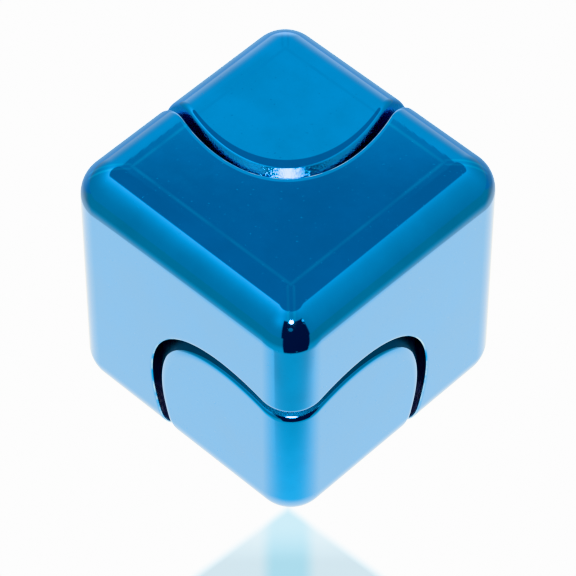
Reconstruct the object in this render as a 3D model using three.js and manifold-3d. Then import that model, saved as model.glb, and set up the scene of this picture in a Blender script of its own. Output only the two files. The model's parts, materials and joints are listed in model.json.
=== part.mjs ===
// Spinner cube: a rounded, plated metal cube that turns about its own body diagonal. The two corners
// on that diagonal are separate caps on one axle, held between finger and thumb, and the rest of the
// cube is one body that spins round them on a ball bearing.
//
// Units are millimetres, +Z is up, and the origin is the centre of the cube's bottom face. Everything
// is built about the spin axis, with "height" measured along it from the cube's centre, and one group
// then turns that axis to the diagonal that runs up, back (+Y) and to the left (-X).

import * as THREE from "three";
import { RoundedBoxGeometry } from "three/addons/geometries/RoundedBoxGeometry.js";
import { mergeVertices } from "three/addons/utils/BufferGeometryUtils.js";
import Module from "manifold-3d";

const wasm = await Module();
wasm.setup();

// Cube
const CUBE_EDGE = 30;
const CUBE_ROUNDING = 3.9; // radius of the cube's edges and corners
const CUBE_ROUNDING_STEPS = 4; // facets across one rounded edge

// Seam between body and caps: two cylinders about the spin axis
const RECESS_RADIUS = 13.1; // bore of the body round each cap
const CAP_RADIUS = 12.3;
const WEB_HALF_THICKNESS = 5.5; // the wall across the middle of the body that holds the bearing
const CAP_END_HEIGHT = 6.1; // open end of each cap, just clear of that wall

// Bearing: the common 608 size, 22 x 8 x 7, with seven balls of 5/32 inch
const BEARING_OUTER_RADIUS = 11;
const BEARING_BORE_RADIUS = 4;
const BEARING_HALF_WIDTH = 3.5;
const BALL_COUNT = 7;
const BALL_RADIUS = 3.969 / 2;
const BALL_CIRCLE_RADIUS = 7.5;
const GROOVE_RADIUS = 2.08; // section of the raceway grooves
const OUTER_LAND_RADIUS = 8.8; // inside of the outer ring, beside its groove
const INNER_LAND_RADIUS = 6.1; // outside of the inner ring, beside its groove
const SHIELD_SEAT_RADIUS = 9.5;
const SHIELD_SEAT_HEIGHT = 2.4;
const CAGE_INNER_RADIUS = 7;
const CAGE_OUTER_RADIUS = 8;
const CAGE_HALF_WIDTH = 2.45;
const CAGE_POCKET_RADIUS = 2.12;

// How the body holds the bearing
const FIT_GAP = 0.05; // beside faces that are pressed together
const SHOULDER_RADIUS = 10;
const RING_THICKNESS = 0.9;
const RING_INNER_RADIUS = 10.2;
const RING_OUTER_RADIUS = 11.7;
const RING_GROOVE_RADIUS = 11.8;
const RING_GROOVE_WIDTH = 1;
const RING_OPENING = THREE.MathUtils.degToRad(26);
const RING_EAR_RADIUS = 1.1;
const RING_EAR_HOLE_RADIUS = 0.45;

// Axle, spacers and hubs
const AXLE_RADIUS = BEARING_BORE_RADIUS - FIT_GAP;
const AXLE_HEX_RADIUS = 3.6; // across the corners of its two hexagonal ends, halved
const AXLE_HALF_LENGTH = 12;
const AXLE_CHAMFER = 0.5;
const HUB_FACE_HEIGHT = 6.2; // the hubs bear on the axle's shoulders and on the spacers here
const SPACER_OUTER_RADIUS = 5.6;
const HUB_PLATE_RADIUS = 10;
const HUB_PLATE_THICKNESS = 1.8;
const HUB_BOSS_RADIUS = 4.9;
const HUB_BOSS_TOP = 12.5;

// Caps: hollow castings with three screw posts, one under each cube edge that meets at the corner
const CAP_WALL = 1.6;
const CAP_HOLLOW_RADIUS = 10.2;
const POST_COUNT = 3;
const POST_CIRCLE_RADIUS = 7.4;
const POST_RADIUS = 2.1;
const POST_FIRST_ANGLE = Math.PI / 3;
const POST_HOLE_TOP = 13.8;

// Screws: M2 countersunk
const SCREW_GAP = 0.1;
const SCREW_RADIUS = 1;
const SCREW_HEAD_RADIUS = 1.9;
const SCREW_HEAD_RIM = 0.15;
const SCREW_LENGTH = 7;
const SCREW_SLOT = { length: 2.4, width: 0.5, depth: 0.5 };

const REACH = CUBE_EDGE; // a height that is outside the cube on its diagonal
const ROUND_SEGMENTS = 36;
const SEAM_SEGMENTS = 60;
const SMALL_SEGMENTS = 12;
const GROOVE_STEPS = 5;

// The directions of the spin axis and of the cube's top face as seen along that axis
const spinAxis = new THREE.Vector3(-1, 1, 1).normalize();
const towardsTopFace = new THREE.Vector3(1, -1, 2).normalize();
const sideways = new THREE.Vector3().crossVectors(spinAxis, towardsTopFace);
const spinFrame = new THREE.Matrix4().makeBasis(towardsTopFace, sideways, spinAxis);
const cubeInSpinFrame = spinFrame.clone().invert();

const PLATED_BLUE = { color: 0x0f62c8, roughness: 0.08, metalness: 1 };
const CASTING = { color: 0x9a9ca0, roughness: 0.45, metalness: 1 };
const GROUND_STEEL = { color: 0xc9ccd0, roughness: 0.18, metalness: 1 };
const PRESSED_STEEL = { color: 0xb4b7bb, roughness: 0.3, metalness: 1 };
const DARK_STEEL = { color: 0x2c2d30, roughness: 0.4, metalness: 1 };

// Only positions, with equal ones shared and the collapsed triangles at a lathe's axis left out.
function closedGeometry(geometry) {
  const bare = new THREE.BufferGeometry();
  bare.setAttribute("position", geometry.getAttribute("position"));
  bare.setIndex(geometry.getIndex());
  const merged = mergeVertices(bare, 1e-5);
  const corners = merged.getIndex().array;
  const kept = [];
  for (let i = 0; i < corners.length; i += 3) {
    const [a, b, c] = [corners[i], corners[i + 1], corners[i + 2]];
    if (a !== b && b !== c && c !== a) {
      kept.push(a, b, c);
    }
  }
  merged.setIndex(kept);
  return merged;
}

function solidOf(geometry) {
  const closed = closedGeometry(geometry);
  return new wasm.Manifold(
    new wasm.Mesh({
      numProp: 3,
      vertProperties: new Float32Array(closed.getAttribute("position").array),
      triVerts: new Uint32Array(closed.getIndex().array),
    }),
  );
}

function geometryOf(solid) {
  const cut = solid.getMesh();
  const geometry = new THREE.BufferGeometry();
  geometry.setAttribute("position", new THREE.BufferAttribute(cut.vertProperties.slice(), 3));
  geometry.setIndex(new THREE.BufferAttribute(cut.triVerts.slice(), 1));
  geometry.computeVertexNormals();
  return geometry;
}

// A solid of revolution about the height axis. The outline is a closed, anticlockwise list of
// [radius, height] corners; six segments give a hexagonal bar.
function turned(outline, segments = ROUND_SEGMENTS) {
  const corners = outline.map(([radius, height]) => new THREE.Vector2(radius, height));
  corners.push(corners[0].clone());
  return closedGeometry(new THREE.LatheGeometry(corners, segments).rotateX(Math.PI / 2));
}

function tube(innerRadius, outerRadius, from, to, segments = ROUND_SEGMENTS) {
  const outline = [
    [innerRadius, from],
    [outerRadius, from],
    [outerRadius, to],
    [innerRadius, to],
  ];
  return turned(outline, segments);
}

function rod(radius, from, to, segments = ROUND_SEGMENTS) {
  return tube(0, radius, from, to, segments);
}

// The points of the raceway groove between two polar angles about the ball's centre.
function grooveArc(fromAngle, toAngle) {
  return Array.from({ length: GROOVE_STEPS + 1 }, (_, step) => {
    const angle = THREE.MathUtils.lerp(fromAngle, toAngle, step / GROOVE_STEPS);
    return [BALL_CIRCLE_RADIUS + GROOVE_RADIUS * Math.cos(angle), GROOVE_RADIUS * Math.sin(angle)];
  });
}

// A round-edged cube about the group's centre, standing on its corner in the spin frame.
function roundedCube(edge, rounding, steps) {
  return new RoundedBoxGeometry(edge, edge, edge, steps, rounding).applyMatrix4(cubeInSpinFrame);
}

// A place at a radius and angle round the spin axis.
function around(radius, angle, height = 0) {
  return new THREE.Vector3(radius * Math.cos(angle), radius * Math.sin(angle), height);
}

function moved(geometry, place) {
  return geometry.translate(place.x, place.y, place.z);
}

function postPlaces() {
  return Array.from({ length: POST_COUNT }, (_, i) =>
    around(POST_CIRCLE_RADIUS, POST_FIRST_ANGLE + (i * 2 * Math.PI) / POST_COUNT),
  );
}

// The body is the whole cube less a stepped bore along the spin axis: a recess for each cap, the
// bearing's seat with a shoulder below it, and the groove for its retaining ring above it.
function bodyGeometry() {
  const seatRadius = BEARING_OUTER_RADIUS + FIT_GAP;
  const seatHalf = BEARING_HALF_WIDTH + FIT_GAP;
  const grooveTop = seatHalf + RING_GROOVE_WIDTH;
  const boreOutline = [
    [0, -REACH],
    [RECESS_RADIUS, -REACH],
    [RECESS_RADIUS, -WEB_HALF_THICKNESS],
    [SHOULDER_RADIUS, -WEB_HALF_THICKNESS],
    [SHOULDER_RADIUS, -seatHalf],
    [seatRadius, -seatHalf],
    [seatRadius, seatHalf],
    [RING_GROOVE_RADIUS, seatHalf],
    [RING_GROOVE_RADIUS, grooveTop],
    [seatRadius, grooveTop],
    [seatRadius, WEB_HALF_THICKNESS],
    [RECESS_RADIUS, WEB_HALF_THICKNESS],
    [RECESS_RADIUS, REACH],
    [0, REACH],
  ];
  const cube = solidOf(roundedCube(CUBE_EDGE, CUBE_ROUNDING, CUBE_ROUNDING_STEPS));
  return geometryOf(cube.subtract(solidOf(turned(boreOutline, SEAM_SEGMENTS))));
}

// A cap is the cube's corner inside the seam, hollowed to an even wall and open towards the bearing.
function capShellGeometry() {
  const corner = solidOf(roundedCube(CUBE_EDGE, CUBE_ROUNDING, CUBE_ROUNDING_STEPS)).intersect(
    solidOf(rod(CAP_RADIUS, CAP_END_HEIGHT, REACH, SEAM_SEGMENTS)),
  );
  const innerCube = roundedCube(CUBE_EDGE - 2 * CAP_WALL, CUBE_ROUNDING - CAP_WALL, 3);
  let hollow = solidOf(innerCube).intersect(solidOf(rod(CAP_HOLLOW_RADIUS, 0, REACH)));
  const postFoot = HUB_FACE_HEIGHT + HUB_PLATE_THICKNESS + SCREW_GAP;
  const holes = [];
  for (const place of postPlaces()) {
    const post = moved(rod(POST_RADIUS, postFoot, REACH, SMALL_SEGMENTS), place);
    hollow = hollow.subtract(solidOf(post));
    const holeRadius = SCREW_RADIUS + SCREW_GAP;
    holes.push(solidOf(moved(rod(holeRadius, 0, POST_HOLE_TOP, SMALL_SEGMENTS), place)));
  }
  return geometryOf(holes.reduce((shell, hole) => shell.subtract(hole), corner.subtract(hollow)));
}

// A hub is a plate that closes a cap's open end, with a boss whose hexagonal hole grips the axle.
function capHubGeometry() {
  const plateTop = HUB_FACE_HEIGHT + HUB_PLATE_THICKNESS;
  const outline = [
    [0, HUB_FACE_HEIGHT],
    [HUB_PLATE_RADIUS, HUB_FACE_HEIGHT],
    [HUB_PLATE_RADIUS, plateTop],
    [HUB_BOSS_RADIUS, plateTop],
    [HUB_BOSS_RADIUS, HUB_BOSS_TOP],
    [0, HUB_BOSS_TOP],
  ];
  const hexHole = rod(AXLE_HEX_RADIUS + SCREW_GAP, 0, REACH, 6);
  let hub = solidOf(turned(outline)).subtract(solidOf(hexHole));
  for (const place of postPlaces()) {
    const seat = turned(screwOutline(SCREW_GAP), SMALL_SEGMENTS);
    hub = hub.subtract(solidOf(moved(seat, place)));
  }
  return geometryOf(hub);
}

// A countersunk screw's outline, or its hole's when it is grown by a gap. The head is flush with the
// hub's face.
function screwOutline(gap) {
  const face = HUB_FACE_HEIGHT + SCREW_GAP - 2 * gap;
  const rimTop = HUB_FACE_HEIGHT + SCREW_GAP + SCREW_HEAD_RIM;
  const neck = rimTop + SCREW_HEAD_RADIUS - SCREW_RADIUS;
  return [
    [0, face],
    [SCREW_HEAD_RADIUS + gap, face],
    [SCREW_HEAD_RADIUS + gap, rimTop],
    [SCREW_RADIUS + gap, neck],
    [SCREW_RADIUS + gap, face + SCREW_LENGTH + 2 * gap],
    [0, face + SCREW_LENGTH + 2 * gap],
  ];
}

function screwGeometry(place) {
  const { length, width, depth } = SCREW_SLOT;
  const face = HUB_FACE_HEIGHT + SCREW_GAP;
  let screw = solidOf(turned(screwOutline(0), SMALL_SEGMENTS));
  for (const [x, y] of [
    [length, width],
    [width, length],
  ]) {
    screw = screw.subtract(solidOf(new THREE.BoxGeometry(x, y, 2 * depth).translate(0, 0, face)));
  }
  return moved(geometryOf(screw), place);
}

// The axle is round where it passes the bearing and spacers, and hexagonal inside the hubs.
function axleGeometry() {
  const shoulder = HUB_FACE_HEIGHT - FIT_GAP;
  const round = solidOf(rod(AXLE_RADIUS, -shoulder, shoulder));
  const hexagonal = solidOf(rod(AXLE_HEX_RADIUS, -AXLE_HALF_LENGTH, AXLE_HALF_LENGTH, 6));
  const chamferedEnds = [
    [0, -AXLE_HALF_LENGTH],
    [AXLE_HEX_RADIUS - AXLE_CHAMFER, -AXLE_HALF_LENGTH],
    [AXLE_RADIUS + AXLE_CHAMFER, -AXLE_HALF_LENGTH + 2 * AXLE_CHAMFER],
    [AXLE_RADIUS + AXLE_CHAMFER, AXLE_HALF_LENGTH - 2 * AXLE_CHAMFER],
    [AXLE_HEX_RADIUS - AXLE_CHAMFER, AXLE_HALF_LENGTH],
    [0, AXLE_HALF_LENGTH],
  ];
  return geometryOf(round.add(hexagonal).intersect(solidOf(turned(chamferedEnds))));
}

function outerRingGeometry() {
  const edge = Math.acos((OUTER_LAND_RADIUS - BALL_CIRCLE_RADIUS) / GROOVE_RADIUS);
  return turned([
    [BEARING_OUTER_RADIUS, -BEARING_HALF_WIDTH],
    [BEARING_OUTER_RADIUS, BEARING_HALF_WIDTH],
    [SHIELD_SEAT_RADIUS, BEARING_HALF_WIDTH],
    [SHIELD_SEAT_RADIUS, SHIELD_SEAT_HEIGHT],
    [OUTER_LAND_RADIUS, SHIELD_SEAT_HEIGHT],
    ...grooveArc(edge, -edge),
    [OUTER_LAND_RADIUS, -SHIELD_SEAT_HEIGHT],
    [SHIELD_SEAT_RADIUS, -SHIELD_SEAT_HEIGHT],
    [SHIELD_SEAT_RADIUS, -BEARING_HALF_WIDTH],
  ]);
}

function innerRingGeometry() {
  const edge = Math.acos((BALL_CIRCLE_RADIUS - INNER_LAND_RADIUS) / GROOVE_RADIUS);
  return turned([
    [BEARING_BORE_RADIUS, -BEARING_HALF_WIDTH],
    [INNER_LAND_RADIUS, -BEARING_HALF_WIDTH],
    ...grooveArc(Math.PI + edge, Math.PI - edge),
    [INNER_LAND_RADIUS, BEARING_HALF_WIDTH],
    [BEARING_BORE_RADIUS, BEARING_HALF_WIDTH],
  ]);
}

function ballAngle(index) {
  return (index * 2 * Math.PI) / BALL_COUNT;
}

function ballGeometry(radius, index) {
  const ball = new THREE.SphereGeometry(radius, SMALL_SEGMENTS, SMALL_SEGMENTS / 2);
  return moved(closedGeometry(ball.rotateX(Math.PI / 2)), around(BALL_CIRCLE_RADIUS, ballAngle(index)));
}

function cageGeometry() {
  const ring = tube(CAGE_INNER_RADIUS, CAGE_OUTER_RADIUS, -CAGE_HALF_WIDTH, CAGE_HALF_WIDTH);
  let cage = solidOf(ring);
  for (let index = 0; index < BALL_COUNT; index += 1) {
    cage = cage.subtract(solidOf(ballGeometry(CAGE_POCKET_RADIUS, index)));
  }
  return geometryOf(cage);
}

// A shield is a thin pressed washer, stepped outwards where it is crimped into the outer ring.
function shieldGeometry() {
  const thickness = 0.3;
  const step = 0.25;
  const inner = [INNER_LAND_RADIUS + step, SHIELD_SEAT_HEIGHT + step];
  const outer = [SHIELD_SEAT_RADIUS - SCREW_GAP, inner[1] + step];
  return turned([
    inner,
    [OUTER_LAND_RADIUS - step, inner[1]],
    [OUTER_LAND_RADIUS, outer[1]],
    outer,
    [outer[0], outer[1] + thickness],
    [OUTER_LAND_RADIUS - SCREW_GAP, outer[1] + thickness],
    [OUTER_LAND_RADIUS - SCREW_GAP - step, inner[1] + thickness],
    [inner[0], inner[1] + thickness],
  ]);
}

// An internal retaining ring: an open hoop with two ears that have holes for the pliers.
function retainingRingGeometry() {
  const foot = BEARING_HALF_WIDTH + 2 * FIT_GAP;
  const hoop = new THREE.Shape();
  hoop.absarc(0, 0, RING_OUTER_RADIUS, RING_OPENING / 2, 2 * Math.PI - RING_OPENING / 2, false);
  hoop.absarc(0, 0, RING_INNER_RADIUS, 2 * Math.PI - RING_OPENING / 2, RING_OPENING / 2, true);
  hoop.closePath();
  const flat = { depth: RING_THICKNESS, bevelEnabled: false, curveSegments: ROUND_SEGMENTS };
  let ring = solidOf(new THREE.ExtrudeGeometry(hoop, flat).translate(0, 0, foot));
  for (const angle of [RING_OPENING / 2, -RING_OPENING / 2]) {
    const place = around(RING_INNER_RADIUS, angle);
    const ear = rod(RING_EAR_RADIUS, foot, foot + RING_THICKNESS, SMALL_SEGMENTS);
    const hole = rod(RING_EAR_HOLE_RADIUS, 0, REACH, SMALL_SEGMENTS);
    ring = ring.add(solidOf(moved(ear, place))).subtract(solidOf(moved(hole, place)));
  }
  return geometryOf(ring);
}

function part(name, geometry, finish) {
  const mesh = new THREE.Mesh(geometry, new THREE.MeshStandardMaterial(finish));
  mesh.name = name;
  return mesh;
}

// What is at both ends of the axle. The lower end is the upper one turned half over.
function axleEnd(side) {
  const end = new THREE.Group();
  end.add(part(`${side}_cap_shell`, capShellGeometry(), PLATED_BLUE));
  end.add(part(`${side}_cap_hub`, capHubGeometry(), CASTING));
  postPlaces().forEach((place, i) => {
    end.add(part(`${side}_cap_screw_${i + 1}`, screwGeometry(place), DARK_STEEL));
  });
  const spacerFoot = BEARING_HALF_WIDTH + FIT_GAP;
  const spacerTop = HUB_FACE_HEIGHT - FIT_GAP;
  const spacer = tube(BEARING_BORE_RADIUS, SPACER_OUTER_RADIUS, spacerFoot, spacerTop);
  end.add(part(`${side}_spacer`, spacer, GROUND_STEEL));
  end.add(part(`${side}_bearing_shield`, shieldGeometry(), PRESSED_STEEL));
  return end;
}

const cube = new THREE.Group();
cube.name = "spinner_cube";
cube.position.z = CUBE_EDGE / 2;
cube.setRotationFromMatrix(spinFrame);

cube.add(part("cube_body", bodyGeometry(), PLATED_BLUE));
cube.add(part("bearing_retaining_ring", retainingRingGeometry(), DARK_STEEL));
cube.add(part("bearing_outer_ring", outerRingGeometry(), GROUND_STEEL));
cube.add(part("bearing_inner_ring", innerRingGeometry(), GROUND_STEEL));
cube.add(part("bearing_cage", cageGeometry(), PRESSED_STEEL));
for (let index = 0; index < BALL_COUNT; index += 1) {
  cube.add(part(`bearing_ball_${index + 1}`, ballGeometry(BALL_RADIUS, index), GROUND_STEEL));
}
cube.add(part("axle", axleGeometry(), GROUND_STEEL));
cube.add(axleEnd("upper"));
const lowerEnd = axleEnd("lower");
lowerEnd.rotation.y = Math.PI;
cube.add(lowerEnd);

const object = new THREE.Group();
object.add(cube);
export default object;
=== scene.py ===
import json
import math

import bmesh
import bpy
import numpy as np
from mathutils import Matrix, Vector


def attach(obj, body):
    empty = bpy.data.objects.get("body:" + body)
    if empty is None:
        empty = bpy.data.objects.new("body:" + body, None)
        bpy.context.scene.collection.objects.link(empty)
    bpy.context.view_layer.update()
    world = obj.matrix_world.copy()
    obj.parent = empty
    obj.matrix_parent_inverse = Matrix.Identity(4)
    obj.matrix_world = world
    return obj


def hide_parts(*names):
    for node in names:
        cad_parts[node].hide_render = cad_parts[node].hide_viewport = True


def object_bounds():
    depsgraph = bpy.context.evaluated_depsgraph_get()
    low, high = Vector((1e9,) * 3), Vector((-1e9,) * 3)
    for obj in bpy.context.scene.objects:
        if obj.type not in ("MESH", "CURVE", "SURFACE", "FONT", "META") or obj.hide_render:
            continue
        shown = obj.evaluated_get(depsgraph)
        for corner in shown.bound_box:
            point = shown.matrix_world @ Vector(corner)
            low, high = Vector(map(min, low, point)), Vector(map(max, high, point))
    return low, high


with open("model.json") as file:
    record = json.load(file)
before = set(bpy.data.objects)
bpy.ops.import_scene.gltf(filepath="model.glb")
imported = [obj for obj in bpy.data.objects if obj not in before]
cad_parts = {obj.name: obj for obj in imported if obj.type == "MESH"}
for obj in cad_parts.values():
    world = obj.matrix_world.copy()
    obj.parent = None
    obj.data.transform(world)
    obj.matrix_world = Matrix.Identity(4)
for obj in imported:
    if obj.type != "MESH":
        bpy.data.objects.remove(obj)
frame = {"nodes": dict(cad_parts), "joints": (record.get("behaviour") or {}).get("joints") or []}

cad_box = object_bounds()

# Spinner cube, in metres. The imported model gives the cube's box, the spin axis and every node's
# place. The body and the two caps are swept round the spin axis as fine surfaces, with "height"
# measured along that axis from the cube's centre.

MM = 0.001
EDGE = cad_box[1][2] - cad_box[0][2]
HALF = EDGE / 2
CENTRE = np.array([0.0, 0.0, HALF])

# The same driving dimensions as the CAD model
ROUNDING = 3.9 * MM
RECESS_RADIUS = 13.1 * MM
WEB_HALF = 5.5 * MM
CAP_RADIUS = 12.3 * MM
CAP_END = 6.1 * MM
CAP_WALL = 1.6 * MM
CAP_HOLLOW_RADIUS = 10.2 * MM
SEAT_RADIUS = 11.05 * MM
SEAT_HALF = 3.55 * MM
SHOULDER_RADIUS = 10.0 * MM
RING_GROOVE_RADIUS = 11.8 * MM
RING_GROOVE_TOP = SEAT_HALF + 1.0 * MM
BEARING_OUTER = 11.0 * MM
BEARING_BORE = 4.0 * MM
BEARING_HALF = 3.5 * MM
BALL_CIRCLE = 7.5 * MM
BALL_RADIUS = 1.9845 * MM
BALL_COUNT = 7
GROOVE_RADIUS = 2.08 * MM
OUTER_LAND = 8.8 * MM
INNER_LAND = 6.1 * MM
SHIELD_SEAT = 9.5 * MM
SHIELD_FOOT = 2.4 * MM
SHIELD_STEP = 0.25 * MM
SHIELD_THICKNESS = 0.3 * MM
SHIELD_GAP = 0.1 * MM
SPACER_OUTER = 5.6 * MM
SPACER_SPAN = (3.55 * MM, 6.15 * MM)
POST_CIRCLE = 7.4 * MM
POST_RADIUS = 2.1 * MM
POST_HOLE = 1.1 * MM
POST_FOOT = 8.1 * MM
POST_ANGLES = [math.radians(angle) for angle in (60, 180, 300)]
POST_TOP_DEPTH = 0.8 * CAP_WALL

# Soft edges of the seam: how far the rounding reaches across the cube's face and down the wall.
# The caps narrow a little towards the cube's centre and mirror as if leaning back.
LIP_RUN = 0.42 * MM
LIP_DEPTH = 0.38 * MM
RIM_RUN = 0.39 * MM
RIM_DEPTH = 0.35 * MM
CAP_TAPER = 0.31 * MM
CAP_LEAN = math.radians(1.0)

# Fineness of the meshes
TURN_STEPS = 600
OUTER_STEPS = 144
CAP_STEPS = 64
LIP_STEPS = 12
# Strips of the body's lip that carry the painted highlight along its edge
LIP_HIGHLIGHT_STEPS = 8
WALL_STEPS = 4
LATHE_STEPS = 160
GROOVE_STEPS = 16
CORNER_STEPS = 3
CORNER_RADIUS = 0.12 * MM
POST_STEPS = 40
POST_SHARP_ANGLE = math.radians(40)
BALL_STEPS = 24
BALL_TUMBLE = (2.3, 1.7)
MARCH_STEPS = 60
# A row within this size is one point, and no length is taken to be under the other
SAME_POINT = 1e-9
SHORTEST = 1e-12
# Cosine between the sides of a corner that is too gentle to need rounding
GENTLE_TURN = -0.9

# Material slots after the outside's, which is 0
BODY_RECESS, BODY_LIP = 1, 2
CAP_WALL_FACE, CAP_HOLLOW = 1, 2

# The photograph's viewpoint, found from the cube's outline
CAMERA_AZIMUTH = math.radians(44.02)
CAMERA_ELEVATION = math.radians(50.12)
CAMERA_DISTANCE = 12.763 * EDGE
CAMERA_LENS = 248.3
SENSOR_WIDTH = 36
CLIP_START = 0.01
CAMERA_DROP = 2.0 * MM

# Blue plating: its colour, how uneven that is, and the clear lacquer over it
PLATING = (0.0, 0.375, 0.89)
PLATING_UNEVENNESS = 0.11
LACQUER_IOR = 2.2
LACQUER_ROUGHNESS = 0.04
WALL_LACQUER_ROUGHNESS = 0.08
# How far the surface turns away before its lacquer starts to shine, and where that is complete
LACQUER_FACING = (0.34, 0.56)
# Pale colour of the painted highlight along the edge of the body's lip
PAINTED_LIP_HIGHLIGHT_COLOUR = (0.45, 0.72, 0.95)
# Painted shade in the recesses, the caps' hollows and the screw posts: a near-black navy in place of
# the plating's blue, in patches between these two
RECESS_SHADE_COLOUR = (0.01, 0.03, 0.18)
DARKER_RECESS_SHADE_COLOUR = (0.006, 0.018, 0.108)
# Faint painted reflection lines, parallel to the edges, lighter on the body and darker on the cap:
# distance from the middle of the face, colour
BODY_REFLECTION_LINE = (10.3 * MM, (0.0, 0.50, 1.0))
CAP_REFLECTION_LINE = (10.5 * MM, (0.0, 0.33, 0.80))
LINE_HALF_WIDTH = 0.3 * MM
CORNER_LINE_OFFSET = 0.4 * MM
LINE_STRENGTH = (0.5, 1.0)
# Noises: features to a millimetre, detail, roughness
PEEL = (0.7, 2, 0.5)
PEEL_HEIGHT = 0.0006 * MM
# Patches: a noise, and the part of its range that spreads from none to all
CLOUDS = ((0.15, 4, 0.6), (0.3, 0.7))
SMUDGES = ((0.25, 5, 0.65), (0.45, 0.75))
SMUDGE_ROUGHNESS = (0.045, 0.085)
SPECKS = ((3.0, 1, 0.5), (0.72, 0.8))
SPECK_HEIGHT = 0.004 * MM
# How the painted reflection lines fade in patches
REFLECTION_LINE_PATCHES = ((0.2, 2, 0.5), (0.35, 0.6))
# Grainy finishes: patches of tone, patches of dullness and their roughness, grain and its height
GRAIN = (4.0, 3, 0.6)
# The painted highlight along the body's lip, in patches between the plating's blue and a paler blue
LIP_HIGHLIGHT_FINISH = (
    ((0.5, 4, 0.6), (0.3, 0.6)),
    ((2.0, 4, 0.5), (0.3, 0.7)),
    (0.08, 0.2),
    GRAIN,
    0.004 * MM,
)
# The painted shade inside the recesses
RECESS_FINISH = (
    ((0.8, 4, 0.5), (0.3, 0.7)),
    ((2.0, 4, 0.5), (0.3, 0.7)),
    (0.3, 0.5),
    GRAIN,
    0.01 * MM,
)
WALL_GRAIN = (5.0, 3, 0.6)
WALL_DULLNESS = ((1.5, 4, 0.5), (0.3, 0.7))
# Cap walls: how bright the plating is, darkened on the lower wall as painted shade, then roughness,
# weight of the lacquer, height of the grain
CAP_WALLS = {
    "upper": (1.0, (0.06, 0.12), 0.2, 0.03 * MM),
    "lower": (0.22, (0.35, 0.45), 0.0, 0.006 * MM),
}
METAL_PATCHES = ((0.6, 4, 0.6), (0.3, 0.7))
METAL_DULLNESS = ((1.1, 5, 0.65), (0.3, 0.7))
METAL_GRAIN = (3, 0.6)
# Unplated metals by slot: name, dark and bright tone, roughness, grains to a millimetre, their height
METALS = {
    "hub_casting": ("cast_zinc", 0.34, 0.46, (0.38, 0.6), 2.5, 0.03 * MM),
    "bearing_steel": ("ground_steel", 0.56, 0.66, (0.14, 0.3), 9.0, 0.004 * MM),
    "ball_steel": ("ball_steel", 0.68, 0.74, (0.03, 0.09), 4.0, 0.0006 * MM),
    "pressed_steel": ("pressed_steel", 0.46, 0.55, (0.25, 0.42), 5.0, 0.008 * MM),
    "dark_steel": ("dark_steel", 0.025, 0.05, (0.3, 0.5), 6.0, 0.01 * MM),
}

# Studio levels, before the view transform. Angles are in degrees, those of azimuth from the
# camera's side of the cube.
WHITE = (1, 1, 1)
BACKDROP_LEVEL = 3.7
FLOOR_GLOW = 3.7
WALL_LEVEL = 0.42
# The dim ceiling and the bright ring round it, which is brighter at the sides
CEILING_LEVEL = 0.375
CEILING_CENTRE = (180, 76)
CEILING_RADIUS = 28
CEILING_EDGE = 1.2
CEILING_TINT = (1.0, 0.79, 1.0)
RING_GAIN = 0.21
RING_LEFT_GAIN = 0.75
RING_RIGHT_GAIN = 0.22
RING_FADE = 16
RING_SIDE_REACH = 0.5
# The dark shape of a photographer, which leans and widens a little with height
DARK_TURN = 12.5
DARK_HALF_WIDTH = 36
DARK_LEAN = 0.06
DARK_SPREAD = 0.03
DARK_TOP = 48.5
DARK_EDGE = 2
DARK_LEVEL = 0.04
DARK_TINT = (1.0, 0.45, 1.2)
# Between these levels the dark shape's tint gives way to the light's own
TINT_LEVELS = (0.1, 0.3)
# Soft glows: azimuth, elevation, width, gain
SOFT_PATCHES = [
    (-40, 42, 16, 0.30),
    (88, 30, 25, 0.08),
    (180, 20, 26, 0.25),
    (180, -5, 16, 1.0),
]
# Lamps: azimuth, elevation, width, height, gain
LAMPS = [
    (2, 47.5, 8, 4.5, 75.0),
    (46, 42, 4, 3.5, 1.2),
    (-1, 27, 7, 5, 0.3),
]
LAMP_EDGE = 0.3
# Light from the floor, as the cube mirrors it: the pool round the cube and the floor beyond, with
# the photographer's dark shape in it
FLOOR_HALF_SIZE = 3.0
FLOOR_DROP = 0.02 * MM
POOL_RADIUS = 43 * MM
POOL_EDGE = 2 * MM
FLOOR_TINT = (1.18, 1.10, 0.97)
BACK_TINT = (0.55, 0.90, 1.15)
POOL_LEVEL = 1.08
POOL_FRONT_LEVEL = 0.74
POOL_FRONT_HALF_WIDTH = 62
POOL_FRONT_EDGE = 3
POOL_FRONT_FADE = (3 * MM, 16 * MM)
NEAR_SIDE_LEVEL = 0.68
FAR_SIDE_LEVEL = 0.38
FAR_BACK_LEVEL = 0.65
FAR_BACK_TURNS = (100, 160)
FLOOR_DARK_TURN = DARK_TURN + 1
FLOOR_DARK_EDGE = (DARK_HALF_WIDTH - 5, DARK_HALF_WIDTH - 1)
# Painted reflection: a pale mirror image of the cube, painted on the floor in front of the cube's
# front corner
IMAGE_START = 19.5 * MM
IMAGE_TIP = 1.8 * MM
IMAGE_SLOPE = 0.9
IMAGE_BLUR = 0.8 * MM
IMAGE_RISE = (0, 5 * MM, 0.75, 1.0)
IMAGE_FADE = (10 * MM, 30 * MM, 1.0, 0.0)
IMAGE_EDGE = (1.2 * MM, 3.0 * MM, 1.0, 0.0)
IMAGE_TINT = (0.76, 0.92, 1.0)
IMAGE_EDGE_TINT = (0.48, 0.80, 0.94)

DEGREES = 180 / math.pi

joint = next(j for j in frame["joints"] if j["name"] == "body_spin")
AXIS = np.array(joint["axis"]) / np.linalg.norm(joint["axis"])
TOWARDS_TOP = np.array([0.0, 0.0, 1.0]) - AXIS[2] * AXIS
TOWARDS_TOP /= np.linalg.norm(TOWARDS_TOP)
SIDEWAYS = np.cross(AXIS, TOWARDS_TOP)
TURNS = np.arange(TURN_STEPS) * 2 * math.pi / TURN_STEPS
OUTWARD = np.cos(TURNS)[:, None] * TOWARDS_TOP + np.sin(TURNS)[:, None] * SIDEWAYS
SIDES = ("upper", "lower")


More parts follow.
